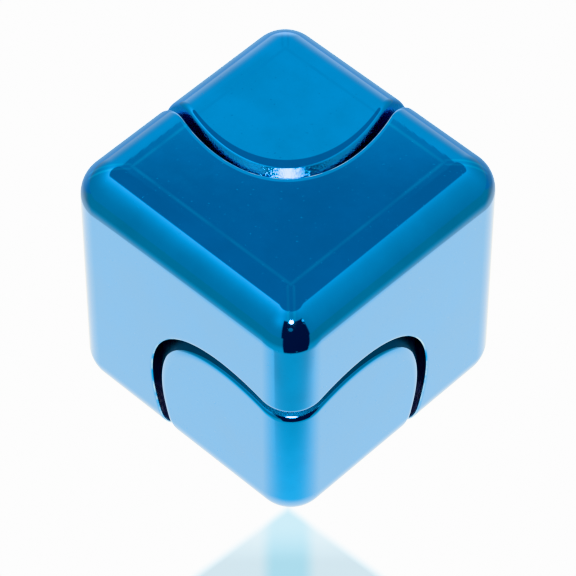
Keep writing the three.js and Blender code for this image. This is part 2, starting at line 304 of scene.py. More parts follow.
# ---------------------------------------------------------------- shapes about the spin axis


def cube_distance(points, half, rounding):
    """Signed distance from points, measured from the cube's centre, to a round-edged cube."""
    past = np.abs(points) - (half - rounding)
    outside = np.linalg.norm(np.maximum(past, 0), axis=-1)
    return outside + np.minimum(past.max(axis=-1), 0) - rounding


def march(start, direction, half=HALF, rounding=ROUNDING):
    """Where straight lines from points inside the cube leave it."""
    travelled = np.zeros(start.shape[:-1])
    for _ in range(MARCH_STEPS):
        travelled -= cube_distance(start + direction * travelled[..., None], half, rounding)
    return start + direction * travelled[..., None]


def place(radius, height):
    """Points at a radius and height about the spin axis, one for each turn step."""
    radius, height = np.broadcast_arrays(radius, height)
    return OUTWARD * radius[..., None] + AXIS * height[..., None]


def cube_normals(points):
    """Outward normals of the cube's surface."""
    past = np.abs(points) - (HALF - ROUNDING)
    return unit(np.sign(points) * np.maximum(past, 0))


def leaned(normals):
    """Normals of a cap as if it sat leaning back on its axle by about a degree."""
    hinge = Vector((math.cos(CAMERA_AZIMUTH), math.sin(CAMERA_AZIMUTH), 0))
    return normals @ np.array(Matrix.Rotation(CAP_LEAN, 3, hinge))


def unit(vectors):
    """Vectors at length 1."""
    return vectors / np.maximum(np.linalg.norm(vectors, axis=-1, keepdims=True), SHORTEST)


def flipped(row):
    """A row of (radius, height) from the upper end, turned half over to the lower end."""
    mirror = (TURN_STEPS // 2 - np.arange(TURN_STEPS)) % TURN_STEPS
    return row[0][mirror], -row[1][mirror]


def surface_height(radius):
    """Height of the cube's surface at a radius, for each turn step, and its slope outwards."""
    top = march(place(radius, 0.0), np.broadcast_to(AXIS, (TURN_STEPS, 3)))
    normal = cube_normals(top)
    slope = -(normal * OUTWARD).sum(axis=1) / (normal @ AXIS)
    return top @ AXIS, slope


def soft_edge(radius, run, depth):
    """Rows of the rounded edge between the cube's surface and a wall at a radius.

    run is the signed distance from the wall to where the rounding starts on the surface."""
    height, slope = surface_height(radius + run)
    corner = height - slope * run
    rows = []
    for t in np.linspace(0, 1, LIP_STEPS + 1):
        start, middle, end = (1 - t) ** 2, 2 * t * (1 - t), t**2
        row_radius = start * (radius + run) + (middle + end) * radius
        row_height = start * height + middle * corner + end * (corner - depth)
        rows.append((np.full(TURN_STEPS, row_radius), row_height))
    return rows


def line(start, end, steps):
    """Rows on a straight line between two rows, both included."""
    share = np.linspace(0, 1, steps + 1)
    return [
        (start[0] * (1 - s) + end[0] * s, start[1] * (1 - s) + end[1] * s) for s in share
    ]


def level(radius, height):
    """A row that is a plain circle."""
    return np.full(TURN_STEPS, radius), np.full(TURN_STEPS, height)


def outer_rows(first, last, steps, half=HALF, rounding=ROUNDING):
    """Rows over the cube's surface between two rows on it, spread by their angle at the centre."""
    first_angle = np.arctan2(first[0], first[1])
    last_angle = np.arctan2(last[0], last[1])
    rows = []
    for share in np.linspace(0, 1, steps + 1):
        angle = first_angle * (1 - share) + last_angle * share
        direction = OUTWARD * np.sin(angle)[:, None] + AXIS * np.cos(angle)[:, None]
        points = march(np.zeros_like(direction), direction, half, rounding)
        rows.append(((points * OUTWARD).sum(axis=1), points @ AXIS))
    return rows


def chain(rows, slot=0):
    """A smooth run of rows, as points and their normals, with a material slot for each strip."""
    points = np.array([place(radius, height) for radius, height in rows])
    along = np.gradient(points, axis=0)
    around = np.roll(points, -1, axis=1) - np.roll(points, 1, axis=1)
    normals = unit(np.cross(along, around))
    return {"points": points, "normals": normals, "slots": np.full(len(rows) - 1, slot)}


def turned_over(vectors):
    """Points or normals of the upper end, turned half over to the lower end."""
    return 2 * (vectors @ SIDEWAYS)[..., None] * SIDEWAYS - vectors


def swept_mesh(name, chains, closed):
    """A mesh of chains swept round the axis. Chains meet in a sharp edge and share its points."""
    points, faces, loop_normals, slots = [], [], [], []
    total = last_start = 0
    for index, made in enumerate(chains):
        rows = made["points"]
        is_last = index == len(chains) - 1
        row_starts = []
        for row_index, row in enumerate(rows):
            if row_index == 0 and index > 0:
                row_starts.append(last_start)
                continue
            if closed and is_last and row_index == len(rows) - 1:
                row_starts.append(0)
                continue
            is_pole = np.ptp(row, axis=0).max() < SAME_POINT
            used = row[:1] if is_pole else row
            points.append(used)
            row_starts.append(-1 - total if is_pole else total)
            total += len(used)
        last_start = row_starts[-1]
        add_strips(made, row_starts, faces, loop_normals, slots)
    mesh = bpy.data.meshes.new(name)
    mesh.from_pydata((np.concatenate(points) + CENTRE).tolist(), [], faces)
    mesh.polygons.foreach_set("use_smooth", np.ones(len(faces), dtype=bool))
    mesh.polygons.foreach_set("material_index", np.array(slots, dtype=np.int32))
    mesh.normals_split_custom_set(loop_normals)
    return linked(mesh)


def add_strips(made, row_starts, faces, loop_normals, slots):
    """Quads between neighbouring rows of a chain, or triangles where a row is one point, which has
    a negative start."""
    normals = made["normals"]
    for lower in range(len(row_starts) - 1):
        low, high = row_starts[lower], row_starts[lower + 1]
        low_normals, high_normals = normals[lower], normals[lower + 1]
        for here in range(TURN_STEPS):
            there = (here + 1) % TURN_STEPS
            corners = []
            if low < 0:
                corners.append((-1 - low, unit(low_normals.mean(axis=0))))
            else:
                corners += [(low + there, low_normals[there]), (low + here, low_normals[here])]
            if high < 0:
                corners.append((-1 - high, unit(high_normals.mean(axis=0))))
            else:
                corners += [(high + here, high_normals[here]), (high + there, high_normals[there])]
            faces.append([vertex for vertex, _ in corners])
            loop_normals.extend(normal for _, normal in corners)
            slots.append(made["slots"][lower])


def body_object():
    """The spinning body: its outside, the recesses round the caps and the bearing's seat."""
    lip = soft_edge(RECESS_RADIUS, LIP_RUN, LIP_DEPTH)
    lower_lip = [flipped(row) for row in lip]
    outer = outer_rows(lip[0], lower_lip[0], OUTER_STEPS)
    wall = line(lip[-1], level(RECESS_RADIUS, WEB_HALF), WALL_STEPS)
    lower_wall = [flipped(row) for row in wall]
    skin = chain(lip[::-1] + outer[1:-1] + lower_lip)
    on_cube = slice(LIP_STEPS, LIP_STEPS + OUTER_STEPS + 1)
    skin["normals"][on_cube] = cube_normals(skin["points"][on_cube])
    # The strips nearest each lip carry a painted highlight along its edge
    skin["slots"][:LIP_HIGHLIGHT_STEPS] = BODY_LIP
    skin["slots"][-LIP_HIGHLIGHT_STEPS:] = BODY_LIP
    bore = [
        level(RECESS_RADIUS, -WEB_HALF),
        level(SHOULDER_RADIUS, -WEB_HALF),
        level(SHOULDER_RADIUS, -SEAT_HALF),
        level(SEAT_RADIUS, -SEAT_HALF),
        level(SEAT_RADIUS, SEAT_HALF),
        level(RING_GROOVE_RADIUS, SEAT_HALF),
        level(RING_GROOVE_RADIUS, RING_GROOVE_TOP),
        level(SEAT_RADIUS, RING_GROOVE_TOP),
        level(SEAT_RADIUS, WEB_HALF),
        level(RECESS_RADIUS, WEB_HALF),
    ]
    runs = [lower_wall, *[line(here, there, 1) for here, there in zip(bore, bore[1:])], wall[::-1]]
    inside = [chain(run, BODY_RECESS) for run in runs]
    return swept_mesh("body_skin", [skin, *inside], closed=True)


def cap_object(side):
    """A corner cap: its outside, the wall that faces the body, and the hollow inside."""
    rim = soft_edge(CAP_RADIUS, -RIM_RUN, RIM_DEPTH)
    tip = (np.zeros(TURN_STEPS), np.full(TURN_STEPS, march(np.zeros(3), AXIS) @ AXIS))
    outer = outer_rows(tip, rim[0], CAP_STEPS)
    foot = level(CAP_RADIUS - CAP_TAPER, CAP_END)
    skin = chain(outer + rim[1:])
    on_cube = slice(0, CAP_STEPS + 1)
    skin["normals"][on_cube] = leaned(cube_normals(skin["points"][on_cube]))
    inner_half, inner_rounding = HALF - CAP_WALL, ROUNDING - CAP_WALL
    mouth = level(CAP_HOLLOW_RADIUS, CAP_END)
    axis_lines = np.broadcast_to(AXIS, (TURN_STEPS, 3))
    ceiling = march(place(mouth[0], 0.0), axis_lines, inner_half, inner_rounding) @ AXIS
    ceiling_edge = (mouth[0], ceiling)
    peak = march(np.zeros(3), AXIS, inner_half, inner_rounding) @ AXIS
    inner_tip = (np.zeros(TURN_STEPS), np.full(TURN_STEPS, peak))
    ceiling_rows = outer_rows(ceiling_edge, inner_tip, CAP_STEPS, inner_half, inner_rounding)
    chains = [
        skin,
        chain(line(rim[-1], foot, WALL_STEPS), CAP_WALL_FACE),
        chain(line(foot, mouth, 1), CAP_HOLLOW),
        chain(line(mouth, ceiling_edge, WALL_STEPS), CAP_HOLLOW),
        chain(ceiling_rows, CAP_HOLLOW),
    ]
    if side == "lower":
        for made in chains:
            made["points"] = turned_over(made["points"])
            made["normals"] = turned_over(made["normals"])
    return swept_mesh(f"{side}_cap_skin", chains, closed=False)


def outward(angle):
    """Unit vector away from the spin axis at an angle from the one towards the top."""
    return math.cos(angle) * TOWARDS_TOP + math.sin(angle) * SIDEWAYS


def linked(data):
    """An object in the scene for a mesh or a camera, under the same name."""
    made = bpy.data.objects.new(data.name, data)
    bpy.context.scene.collection.objects.link(made)
    return made


def smooth_piece(name, points, faces):
    """A smooth object from points measured from the cube's centre."""
    mesh = bpy.data.meshes.new(name)
    mesh.from_pydata((points + CENTRE).tolist(), [], faces)
    mesh.polygons.foreach_set("use_smooth", np.ones(len(faces), dtype=bool))
    return linked(mesh)


def ring_faces(rows, steps):
    """Quads round a ring whose section is closed, one row of points to each section corner."""
    faces = []
    for row in range(rows):
        low, high = row * steps, (row + 1) % rows * steps
        for here in range(steps):
            there = (here + 1) % steps
            faces.append([low + here, low + there, high + there, high + here])
    return faces


def eased(outline):
    """A closed outline with its sharp corners rounded off, over a third of a side at most."""
    points = np.array(outline)
    before, after = np.roll(points, 1, axis=0), np.roll(points, -1, axis=0)
    rounded = []
    for corner, last, following in zip(points, before, after):
        back, on = last - corner, following - corner
        turn = back @ on / (np.linalg.norm(back) * np.linalg.norm(on))
        is_gentle = turn < GENTLE_TURN
        if is_gentle:
            rounded.append(corner)
            continue
        reach = min(CORNER_RADIUS, np.linalg.norm(back) / 3, np.linalg.norm(on) / 3)
        start = corner + back * reach / np.linalg.norm(back)
        end = corner + on * reach / np.linalg.norm(on)
        for t in np.linspace(0, 1, CORNER_STEPS + 1):
            rounded.append(start * (1 - t) ** 2 + corner * 2 * t * (1 - t) + end * t**2)
    return rounded


def lathed(name, outline, side="upper"):
    """A ring about the spin axis. Its outline is (radius, height) points, anticlockwise."""
    rows = eased(outline)
    around = [outward(step * 2 * math.pi / LATHE_STEPS) for step in range(LATHE_STEPS)]
    points = np.array([out * radius + AXIS * height for radius, height in rows for out in around])
    if side == "lower":
        points = turned_over(points)
    return smooth_piece(name, points, ring_faces(len(rows), LATHE_STEPS))


def groove(from_angle, to_angle):
    """Points of a raceway's groove between two angles about the ball's centre."""
    angles = np.linspace(from_angle, to_angle, GROOVE_STEPS + 1)
    return [
        (BALL_CIRCLE + GROOVE_RADIUS * math.cos(angle), GROOVE_RADIUS * math.sin(angle))
        for angle in angles
    ]


def outer_ring():
    """The bearing's outer ring, with a groove for the balls and a seat for each shield."""
    edge = math.acos((OUTER_LAND - BALL_CIRCLE) / GROOVE_RADIUS)
    outline = [
        (BEARING_OUTER, -BEARING_HALF),
        (BEARING_OUTER, BEARING_HALF),
        (SHIELD_SEAT, BEARING_HALF),
        (SHIELD_SEAT, SHIELD_FOOT),
        (OUTER_LAND, SHIELD_FOOT),
        *groove(edge, -edge),
        (OUTER_LAND, -SHIELD_FOOT),
        (SHIELD_SEAT, -SHIELD_FOOT),
        (SHIELD_SEAT, -BEARING_HALF),
    ]
    return lathed("bearing_outer_race", outline)


def inner_ring():
    """The bearing's inner ring, with a groove for the balls."""
    edge = math.acos((BALL_CIRCLE - INNER_LAND) / GROOVE_RADIUS)
    outline = [
        (BEARING_BORE, -BEARING_HALF),
        (INNER_LAND, -BEARING_HALF),
        *groove(math.pi + edge, math.pi - edge),
        (INNER_LAND, BEARING_HALF),
        (BEARING_BORE, BEARING_HALF),
    ]
    return lathed("bearing_inner_race", outline)


def shield(side):
    """A thin pressed washer, stepped outwards where it is crimped into the outer ring."""
    foot, seat = SHIELD_FOOT + SHIELD_STEP, SHIELD_FOOT + 2 * SHIELD_STEP
    inside, outside = INNER_LAND + SHIELD_STEP, SHIELD_SEAT - SHIELD_GAP
    outline = [
        (inside, foot),
        (OUTER_LAND - SHIELD_STEP, foot),
        (OUTER_LAND, seat),
        (outside, seat),
        (outside, seat + SHIELD_THICKNESS),
        (OUTER_LAND - SHIELD_GAP, seat + SHIELD_THICKNESS),
        (OUTER_LAND - SHIELD_GAP - SHIELD_STEP, foot + SHIELD_THICKNESS),
        (inside, foot + SHIELD_THICKNESS),
    ]
    return lathed(f"{side}_pressed_shield", outline, side)


def spacer(side):
    """A sleeve between the bearing's inner ring and a cap's hub."""
    foot, top = SPACER_SPAN
    outline = [(BEARING_BORE, foot), (SPACER_OUTER, foot), (SPACER_OUTER, top), (BEARING_BORE, top)]
    return lathed(f"{side}_turned_spacer", outline, side)


def ball(index):
    """A bearing ball, tumbled so that the poles of the balls don't all line up."""
    angle = index * 2 * math.pi / BALL_COUNT
    tilt, spin = [angle * factor for factor in BALL_TUMBLE]
    tumble = Matrix.Rotation(tilt, 4, (1, 1, 0)) @ Matrix.Rotation(spin, 4, "Z")
    shift = Matrix.Translation(CENTRE + outward(angle) * BALL_CIRCLE)
    sphere = bmesh.new()
    bmesh.ops.create_uvsphere(
        sphere, u_segments=2 * BALL_STEPS, v_segments=BALL_STEPS, radius=BALL_RADIUS
    )
    sphere.transform(shift @ tumble)
    for face in sphere.faces:
        face.smooth = True
    mesh = bpy.data.meshes.new(f"polished_ball_{index + 1}")
    sphere.to_mesh(mesh)
    sphere.free()
    return linked(mesh)


def screw_post(side, number, angle):
    """A hollow post for a screw inside a cap. Its top follows the cap's shape, inside its wall."""
    turns = np.arange(POST_STEPS) * 2 * math.pi / POST_STEPS
    around = np.cos(turns)[:, None] * TOWARDS_TOP + np.sin(turns)[:, None] * SIDEWAYS
    hole, outside = [outward(angle) * POST_CIRCLE + around * r for r in (POST_HOLE, POST_RADIUS)]
    up = np.broadcast_to(AXIS, hole.shape)
    ceiling = HALF - POST_TOP_DEPTH, ROUNDING - POST_TOP_DEPTH
    foot = AXIS * POST_FOOT
    rows = [
        hole + foot,
        outside + foot,
        march(outside, up, *ceiling),
        march(hole, up, *ceiling),
    ]
    points = np.concatenate(rows)
    if side == "lower":
        points = turned_over(points)
    made = smooth_piece(f"{side}_screw_post_{number}", points, ring_faces(len(rows), POST_STEPS))
    made.data.set_sharp_from_angle(angle=POST_SHARP_ANGLE)
    return made


# ---------------------------------------------------------------- materials


class Graph:
    """Short calls for building a node tree."""

    def __init__(self, tree):
        self.tree = tree
        tree.nodes.clear()

    def add(self, kind, **settings):
        """A new node with its settings."""
        node = self.tree.nodes.new(kind)
        for name, value in settings.items():
            setattr(node, name, value)
        return node

    def feed(self, socket, value):
        """Links a socket into another, or sets a fixed value on it."""
        if isinstance(value, bpy.types.NodeSocket):
            self.tree.links.new(value, socket)
        else:
            socket.default_value = value

    def math(self, operation, *values):
        """The result of an operation on fixed values or sockets."""
        node = self.add("ShaderNodeMath", operation=operation)
        for socket, value in zip(node.inputs, values):
            self.feed(socket, value)
        return node.outputs[0]

    def dot(self, vector, direction):
        """How far a vector reaches in a direction."""
        node = self.add("ShaderNodeVectorMath", operation="DOT_PRODUCT")
        self.feed(node.inputs[0], vector)
        node.inputs[1].default_value = direction
        return node.outputs["Value"]

    def mapped(self, value, low, high, to_low=0.0, to_high=1.0, smooth=True):
        """A value moved from one range to another, with soft ends unless told otherwise."""
        node = self.add("ShaderNodeMapRange")
        node.interpolation_type = "SMOOTHSTEP" if smooth else "LINEAR"
        self.feed(node.inputs["Value"], value)
        limits = {"From Min": low, "From Max": high, "To Min": to_low, "To Max": to_high}
        for name, limit in limits.items():
            self.feed(node.inputs[name], limit)
        return node.outputs["Result"]

    def weigh(self, share, first, second):
        """A mix of two numbers, each of them fixed or a socket."""
        node = self.add("ShaderNodeMix", data_type="FLOAT")
        for index, value in ((0, share), (2, first), (3, second)):
            self.feed(node.inputs[index], value)
        return node.outputs[0]

    def noise(self, scale, detail, roughness):
        """Noise with about scale features to a millimetre, fixed to the object."""
        place_node = self.add("ShaderNodeTexCoord")
        node = self.add("ShaderNodeTexNoise")
        self.feed(node.inputs["Vector"], place_node.outputs["Object"])
        node.inputs["Scale"].default_value = scale / MM
        node.inputs["Detail"].default_value = detail
        node.inputs["Roughness"].default_value = roughness
        return node.outputs["Fac"]

    def patches(self, spec, to_low=0.0, to_high=1.0):
        """A noise with part of its range spread between two values."""
        noise, limits = spec
        return self.mapped(self.noise(*noise), *limits, to_low, to_high)

    def bump(self, height, distance, below=None):
        """A normal from a height, optionally on top of another bump."""
        node = self.add("ShaderNodeBump")
        node.inputs["Strength"].default_value = 1.0
        node.inputs["Distance"].default_value = distance
        self.feed(node.inputs["Height"], height)
        if below is not None:
            self.feed(node.inputs["Normal"], below)
        return node.outputs["Normal"]

    def blend(self, share, first, second):
        """A mix of two colours, each of them fixed or a socket."""
        node = self.add("ShaderNodeMix", data_type="RGBA")
        self.feed(node.inputs[0], share)
        for socket, colour in ((node.inputs[6], first), (node.inputs[7], second)):
            is_fixed = not isinstance(colour, bpy.types.NodeSocket)
            self.feed(socket, (*colour, 1) if is_fixed else colour)
        return node.outputs[2]


def empty_material(name):
    """A material and its graph, with nothing in it."""
    made = bpy.data.materials.new(name)
    made.use_nodes = True
    return made, Graph(made.node_tree)


def new_metal(name):
    """A metal with its graph and its shader."""
    made, graph = empty_material(name)
    shader = graph.add("ShaderNodeBsdfPrincipled")
    shader.inputs["Metallic"].default_value = 1.0
    output = graph.add("ShaderNodeOutputMaterial")
    graph.feed(output.inputs["Surface"], shader.outputs[0])
    return made, graph, shader


def painted_reflection_lines(graph, distance):
    """Strength of the painted reflection lines: a square on the top and on the underside, and pairs
    of lines from it to the corners, weaker in patches."""
    from_centre = graph.add("ShaderNodeVectorMath", operation="SUBTRACT")
    graph.feed(from_centre.inputs[0], graph.add("ShaderNodeTexCoord").outputs["Object"])
    from_centre.inputs[1].default_value = CENTRE
    folded = graph.add("ShaderNodeVectorMath", operation="ABSOLUTE")
    graph.feed(folded.inputs[0], from_centre.outputs[0])
    split = graph.add("ShaderNodeSeparateXYZ")
    graph.feed(split.inputs[0], folded.outputs[0])
    x, y, z = split.outputs
    small, large = graph.math("MINIMUM", x, y), graph.math("MAXIMUM", x, y)
    middle = graph.math("MAXIMUM", small, graph.math("MINIMUM", large, z))
    least = graph.math("MINIMUM", small, z)
    off_square = graph.math("ABSOLUTE", graph.math("SUBTRACT", middle, distance))
    square = graph.mapped(off_square, 0, LINE_HALF_WIDTH, 1, 0)
    off_diagonal = graph.math("SUBTRACT", middle, least)
    off_pair = graph.math("ABSOLUTE", graph.math("SUBTRACT", off_diagonal, CORNER_LINE_OFFSET))
    pair = graph.mapped(off_pair, 0, LINE_HALF_WIDTH, 1, 0)
    in_corner = graph.mapped(least, distance - LINE_HALF_WIDTH, distance)
    lines = graph.math("MAXIMUM", square, graph.math("MULTIPLY", pair, in_corner))
    on_top = graph.mapped(graph.math("SUBTRACT", z, large), 0, LINE_HALF_WIDTH)
    patchy = graph.patches(REFLECTION_LINE_PATCHES, *LINE_STRENGTH)
    return graph.math("MULTIPLY", lines, graph.math("MULTIPLY", on_top, patchy))


def plated_blue(name, reflection_line):
    """Blue mirror plating under a clear lacquer: slightly uneven, with a faint orange peel, a few
    specks, smudges that dull it, and painted reflection lines."""
    made, graph, shader = new_metal(name)
    distance, line_colour = reflection_line
    low = [channel * (1 - PLATING_UNEVENNESS) for channel in PLATING]
    colour = graph.blend(graph.patches(CLOUDS), low, PLATING)
    colour = graph.blend(painted_reflection_lines(graph, distance), colour, line_colour)
    graph.feed(shader.inputs["Base Color"], colour)
    graph.feed(shader.inputs["Roughness"], graph.patches(SMUDGES, *SMUDGE_ROUGHNESS))
    peel = graph.bump(graph.noise(*PEEL), PEEL_HEIGHT)
    graph.feed(shader.inputs["Normal"], graph.bump(graph.patches(SPECKS), SPECK_HEIGHT, peel))
    facing = graph.add("ShaderNodeLayerWeight")
    gloss = graph.mapped(facing.outputs["Facing"], *LACQUER_FACING)
    add_lacquer(graph, shader, gloss, LACQUER_ROUGHNESS)
    return made


def add_lacquer(graph, shader, weight, roughness):
    """Clear lacquer over a metal."""
    graph.feed(shader.inputs["Coat Weight"], weight)
    shader.inputs["Coat IOR"].default_value = LACQUER_IOR
    shader.inputs["Coat Roughness"].default_value = roughness


def grainy_metal(name, dark, bright, finish, lacquer=None):
    """Unpolished metal: its tone and dullness vary in patches, over a fine grain."""
    made, graph, shader = new_metal(name)
    tone, dullness, roughness, grain, height = finish
    graph.feed(shader.inputs["Base Color"], graph.blend(graph.patches(tone), dark, bright))
    graph.feed(shader.inputs["Roughness"], graph.patches(dullness, *roughness))
    graph.feed(shader.inputs["Normal"], graph.bump(graph.noise(*grain), height))
    if lacquer is not None:
        add_lacquer(graph, shader, lacquer, WALL_LACQUER_ROUGHNESS)
    return made


def cap_wall_plating(side):
    """The same plating on the wall of a cap, which was never polished. On the lower cap the plating
    is darkened as painted shade.
    """
    shade, roughness, lacquer, grain_height = CAP_WALLS[side]
    bright = [channel * shade for channel in PLATING]
    dark = [channel * (1 - PLATING_UNEVENNESS) for channel in bright]
    finish = (CLOUDS, WALL_DULLNESS, roughness, WALL_GRAIN, grain_height)
    return grainy_metal(f"{side}_cap_wall", dark, bright, finish, lacquer)


def bare_metal(slot):
    """The unplated metal of a slot."""
    name, dark, bright, roughness, grains, height = METALS[slot]
    finish = (METAL_PATCHES, METAL_DULLNESS, roughness, (grains, *METAL_GRAIN), height)
    return grainy_metal(name, (dark,) * 3, (bright,) * 3, finish)


# ---------------------------------------------------------------- studio


def camera_frame():
    """Unit vectors to the camera, to its right and up."""
    level_out = math.cos(CAMERA_ELEVATION)
    back = Vector(
        (
            math.sin(CAMERA_AZIMUTH) * level_out,
            -math.cos(CAMERA_AZIMUTH) * level_out,
            math.sin(CAMERA_ELEVATION),
        )
    )
    right = Vector((math.cos(CAMERA_AZIMUTH), math.sin(CAMERA_AZIMUTH), 0))
    return back, right, back.cross(right)


def add_camera():
    """The camera at the photograph's angle, aimed a little below the cube's centre."""
    back, right, up = camera_frame()
    data = bpy.data.cameras.new("camera")
    data.lens = CAMERA_LENS
    data.sensor_width = SENSOR_WIDTH
    data.clip_start = CLIP_START
    camera = linked(data)
    camera.location = Vector(CENTRE) + back * CAMERA_DISTANCE
    aim = Vector(CENTRE) - up * CAMERA_DROP
    looking = (camera.location - aim).normalized()
    rotation = Matrix((right, looking.cross(right), looking)).transposed()
    camera.rotation_euler = rotation.to_euler()
    bpy.context.scene.camera = camera


def direction(azimuth, elevation):
    """Unit vector at degrees from the camera's side of the cube and above the horizon."""
    turn, rise = CAMERA_AZIMUTH + math.radians(azimuth), math.radians(elevation)
    return (math.sin(turn) * math.cos(rise), -math.cos(turn) * math.cos(rise), math.sin(rise))


def between(graph, look, spot):
    """Angle in degrees between the direction looked in and a spot on the studio's walls."""
    apart = graph.math("ARCCOSINE", graph.dot(look, direction(*spot)))
    return graph.math("MULTIPLY", apart, DEGREES)


def azimuth_of(graph, vector):
    """Azimuth of a vector in degrees from the camera's side."""
    aside, ahead = graph.dot(vector, direction(90, 0)), graph.dot(vector, direction(0, 0))
    return graph.math("MULTIPLY", graph.math("ARCTAN2", aside, ahead), DEGREES)


def off_by(graph, value, middle):
    """How far a value is from a middle, either way."""
    return graph.math("ABSOLUTE", graph.math("SUBTRACT", value, middle))


def finish_with(graph, mirrored, seen, output_kind):
    """Ends a graph. The camera sees one of the shaders, and everything else meets the other."""
    rays = graph.add("ShaderNodeLightPath")
    mixed = graph.add("ShaderNodeMixShader")
    graph.feed(mixed.inputs[0], rays.outputs["Is Camera Ray"])
    graph.feed(mixed.inputs[1], mirrored.outputs[0])
    graph.feed(mixed.inputs[2], seen.outputs[0])
    output = graph.add(output_kind)
    graph.feed(output.inputs["Surface"], mixed.outputs[0])


def studio_light(graph, look):
    """Brightness of the studio in a direction, and whether that is outside the dim ceiling."""
    rise = graph.math("ARCSINE", graph.dot(look, (0, 0, 1)))
    rise = graph.math("MULTIPLY", rise, DEGREES)
    turn = azimuth_of(graph, look)

    brightness = WALL_LEVEL
    for azimuth, elevation, width, gain in SOFT_PATCHES:
        share = graph.math("DIVIDE", between(graph, look, (azimuth, elevation)), width)
        glow = graph.math("EXPONENT", graph.math("MULTIPLY", graph.math("POWER", share, 2), -1))
        brightness = graph.math("MULTIPLY_ADD", glow, gain, brightness)

    past_rim = graph.math("SUBTRACT", between(graph, look, CEILING_CENTRE), CEILING_RADIUS)
    glow = graph.math("EXPONENT", graph.math("DIVIDE", past_rim, -RING_FADE))
    leftward = graph.mapped(graph.dot(look, direction(-90, 0)), 0.0, RING_SIDE_REACH)
    rightward = graph.mapped(graph.dot(look, direction(90, 0)), 0.0, RING_SIDE_REACH)
    ring = graph.math("MULTIPLY_ADD", leftward, RING_LEFT_GAIN, RING_GAIN)
    ring = graph.math("MULTIPLY_ADD", rightward, RING_RIGHT_GAIN, ring)
    brightness = graph.math("MULTIPLY_ADD", glow, ring, brightness)
    outside = graph.mapped(past_rim, -CEILING_EDGE, CEILING_EDGE)
    brightness = graph.weigh(outside, CEILING_LEVEL, brightness)

    middle = graph.math("MULTIPLY_ADD", rise, -DARK_LEAN, DARK_TURN)
    aside = graph.math("MULTIPLY_ADD", rise, -DARK_SPREAD, off_by(graph, turn, middle))
    beside = graph.mapped(aside, DARK_HALF_WIDTH - DARK_EDGE, DARK_HALF_WIDTH + DARK_EDGE)
    above = graph.mapped(rise, DARK_TOP - DARK_EDGE, DARK_TOP + DARK_EDGE)
    lit = graph.math("MAXIMUM", beside, above)
    brightness = graph.weigh(lit, DARK_LEVEL, brightness)

    for azimuth, elevation, width, height, gain in LAMPS:
        across = graph.math("DIVIDE", graph.math("SUBTRACT", turn, azimuth), width)
        upward = graph.math("DIVIDE", graph.math("SUBTRACT", rise, elevation), height)
        apart = graph.math("MULTIPLY_ADD", across, across, graph.math("MULTIPLY", upward, upward))
        light = graph.mapped(apart, 1 + LAMP_EDGE, 1 - LAMP_EDGE, 0.0, gain)
        brightness = graph.math("ADD", brightness, light)
    return brightness, outside


def add_world():
    """A soft studio that the cube mirrors: a dim ceiling with a bright rim, grey walls, lamps and
    the dark shape of a photographer. The camera sees a plain white backdrop."""
    world = bpy.data.worlds.new("studio")
    bpy.context.scene.world = world
    world.use_nodes = True
    graph = Graph(world.node_tree)
    brightness, outside = studio_light(graph, graph.add("ShaderNodeTexCoord").outputs["Generated"])
    mirrored = graph.add("ShaderNodeBackground")
    shade = graph.blend(graph.mapped(brightness, *TINT_LEVELS), DARK_TINT, WHITE)
    graph.feed(mirrored.inputs["Color"], graph.blend(outside, CEILING_TINT, shade))
    graph.feed(mirrored.inputs["Strength"], brightness)
    seen = graph.add("ShaderNodeBackground")
    seen.inputs["Strength"].default_value = BACKDROP_LEVEL
    finish_with(graph, mirrored, seen, "ShaderNodeOutputWorld")


def floor_light(graph, spot):
    """Brightness of the floor as the cube mirrors it."""
    ahead = graph.dot(spot, direction(0, 0))
    aside = graph.dot(spot, direction(90, 0))
    across = graph.math("MULTIPLY", aside, aside)
    radius = graph.math("SQRT", graph.math("MULTIPLY_ADD", ahead, ahead, across))

    from_corner = graph.math("SUBTRACT", ahead, IMAGE_START)
    turn = graph.math("ARCTAN2", aside, from_corner)
    turn = graph.math("MULTIPLY", turn, DEGREES)
    beside_limits = POOL_FRONT_HALF_WIDTH - POOL_FRONT_EDGE, POOL_FRONT_HALF_WIDTH + POOL_FRONT_EDGE
    beside = graph.mapped(off_by(graph, turn, DARK_TURN), *beside_limits)
    front = graph.mapped(from_corner, *POOL_FRONT_FADE, POOL_LEVEL, POOL_FRONT_LEVEL)
    pool = graph.weigh(beside, front, POOL_LEVEL)

    off_dark = off_by(graph, azimuth_of(graph, spot), DARK_TURN)
    side = graph.mapped(radius, POOL_RADIUS, 2 * POOL_RADIUS, NEAR_SIDE_LEVEL, FAR_SIDE_LEVEL)
    beside_dark = graph.mapped(off_by(graph, turn, FLOOR_DARK_TURN), *FLOOR_DARK_EDGE)
    side = graph.weigh(beside_dark, DARK_LEVEL, side)
    far = graph.weigh(graph.mapped(off_dark, *FAR_BACK_TURNS), side, FAR_BACK_LEVEL)
    outside = graph.mapped(radius, POOL_RADIUS - POOL_EDGE, POOL_RADIUS + POOL_EDGE)
    return graph.weigh(outside, pool, far)


def painted_floor_reflection(graph, spot):
    """Strength of the painted reflection of the cube on the floor, and its colour."""
    ahead = graph.math("SUBTRACT", graph.dot(spot, direction(0, 0)), IMAGE_START)
    aside = graph.math("ABSOLUTE", graph.dot(spot, direction(90, 0)))
    inside = graph.math("MULTIPLY_ADD", aside, -IMAGE_SLOPE, graph.math("ADD", ahead, IMAGE_TIP))
    image = graph.mapped(inside, -IMAGE_BLUR, IMAGE_BLUR)
    image = graph.math("MULTIPLY", image, graph.mapped(ahead, *IMAGE_RISE))
    image = graph.math("MULTIPLY", image, graph.mapped(ahead, *IMAGE_FADE))
    tint = graph.blend(graph.mapped(aside, *IMAGE_EDGE), IMAGE_TINT, IMAGE_EDGE_TINT)
    return image, graph.blend(image, WHITE, tint)


